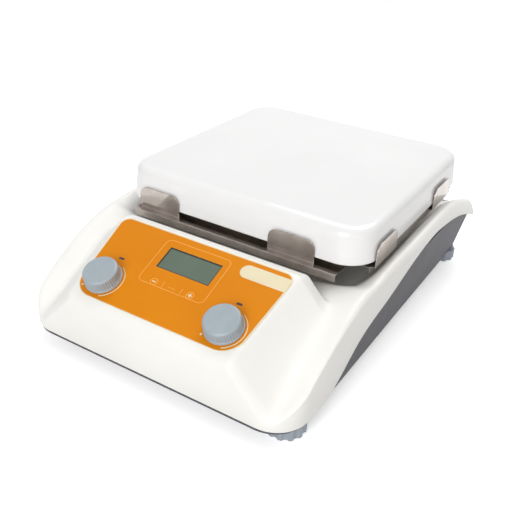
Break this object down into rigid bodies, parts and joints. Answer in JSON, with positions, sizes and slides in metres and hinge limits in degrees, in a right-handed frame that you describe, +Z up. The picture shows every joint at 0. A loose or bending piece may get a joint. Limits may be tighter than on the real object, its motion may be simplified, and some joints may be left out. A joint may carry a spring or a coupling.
{
  "type": "hotplate stirrer",
  "caption": "Laboratory magnetic hotplate stirrer: square white plate, sloping control panel with display, keys and dials, levelling feet.",
  "frame": {"origin": "middle of the footprint on the bench, level with the undersides of the feet", "axes": "+X to the user's right, +Y from the control panel towards the rear, +Z up"},
  "size_m": [0.3006, 0.412, 0.13],
  "materials": {
    "white_shell": "satin moulded",
    "grey_base": "fine moulded texture",
    "orange_sheet": "printed polyester sheet",
    "display_glass": "tinted window",
    "black_plastic": "moulded",
    "knob_plastic": "satin moulded",
    "lamp_plastic": "clear red",
    "board": "solder resist",
    "steel": "plain",
    "enamel": "white enamel",
    "heater_metal": "plain",
    "insulation": "mineral fibre",
    "polished_steel": "polished stainless",
    "aluminium": "plain",
    "magnet": "nickel plated",
    "foot_rubber": "moulded",
    "transformer_iron": "varnished"
  },
  "bodies": {
    "housing": {"upper_housing": "white_shell", "base_pan": "grey_base", "control_overlay": "orange_sheet", "display_window": "display_glass", "display_module": "black_plastic", "key_switches": "black_plastic", "temperature_control": "aluminium", "speed_control": "aluminium", "indicator_lamps": "lamp_plastic", "control_board": "board", "board_spacers": "steel", "control_board_screws": "steel", "top_plate": "enamel", "heating_element": "heater_metal", "insulation_pad": "insulation", "temperature_sensor": "steel", "safety_cutout": "aluminium", "reflector_tray": "polished_steel", "tray_posts": "steel", "plate_screws": "steel", "motor_bracket": "steel", "motor_screws": "steel", "stirrer_motor": "aluminium", "motor_bearings": "steel", "housing_screws": "steel", "power_board": "board", "power_board_spacers": "steel", "power_board_screws": "steel", "heat_sink": "aluminium", "transformer": "transformer_iron", "mains_inlet": "black_plastic", "switch_frame": "black_plastic", "probe_socket": "black_plastic", "rod_socket": "steel"},
    "stirrer": {"motor_shaft": "steel", "magnet_carrier": "aluminium", "drive_magnets": "magnet"},
    "temperature_dial": {"temperature_knob": "knob_plastic", "temperature_shaft": "steel"},
    "speed_dial": {"speed_knob": "knob_plastic", "speed_shaft": "steel"},
    "minus_button": {"minus_key": "orange_sheet"},
    "mode_button": {"mode_key": "orange_sheet"},
    "plus_button": {"plus_key": "orange_sheet"},
    "rocker": {"switch_rocker": "black_plastic"},
    "foot_front_left": {"front_left_foot": "foot_rubber"},
    "foot_front_right": {"front_right_foot": "foot_rubber"},
    "foot_rear_left": {"rear_left_foot": "foot_rubber"},
    "foot_rear_right": {"rear_right_foot": "foot_rubber"}
  },
  "joints": [
    {"name": "stirrer_spin", "type": "hinge", "parent": "housing", "child": "stirrer", "pos_m": [0, 0.049, 0.06], "axis": [0, 0, 1], "continuous": true},
    {"name": "temperature_knob_turn", "type": "hinge", "parent": "housing", "child": "temperature_dial", "pos_m": [-0.0609, -0.18064, 0.07546], "axis": [0, 0.3882, -0.9216], "range_deg": [0, 280]},
    {"name": "speed_knob_turn", "type": "hinge", "parent": "housing", "child": "speed_dial", "pos_m": [0.0609, -0.18064, 0.07546], "axis": [0, 0.3882, -0.9216], "range_deg": [0, 280]},
    {"name": "minus_key_press", "type": "slide", "parent": "housing", "child": "minus_button", "axis": [0, 0.3882, -0.9216], "range_m": [0, 0.0004], "stiffness_N_per_m": 1500},
    {"name": "mode_key_press", "type": "slide", "parent": "housing", "child": "mode_button", "axis": [0, 0.3882, -0.9216], "range_m": [0, 0.0004], "stiffness_N_per_m": 1500},
    {"name": "plus_key_press", "type": "slide", "parent": "housing", "child": "plus_button", "axis": [0, 0.3882, -0.9216], "range_m": [0, 0.0004], "stiffness_N_per_m": 1500},
    {"name": "mains_switch_tip", "type": "hinge", "parent": "housing", "child": "rocker", "pos_m": [-0.03, 0.198, 0.034], "axis": [-1, 0, 0], "range_deg": [0, 16]},
    {"name": "front_left_foot_turn", "type": "hinge", "parent": "housing", "child": "foot_front_left", "pos_m": [-0.1165, -0.174, 0.012], "axis": [0, 0, 1], "range_deg": [0, 1080]},
    {"name": "front_right_foot_turn", "type": "hinge", "parent": "housing", "child": "foot_front_right", "pos_m": [0.1165, -0.174, 0.012], "axis": [0, 0, 1], "range_deg": [0, 1080]},
    {"name": "rear_left_foot_turn", "type": "hinge", "parent": "housing", "child": "foot_rear_left", "pos_m": [-0.122, 0.174, 0.012], "axis": [0, 0, 1], "range_deg": [0, 1080]},
    {"name": "rear_right_foot_turn", "type": "hinge", "parent": "housing", "child": "foot_rear_right", "pos_m": [0.122, 0.174, 0.012], "axis": [0, 0, 1], "range_deg": [0, 1080]}
  ]
}
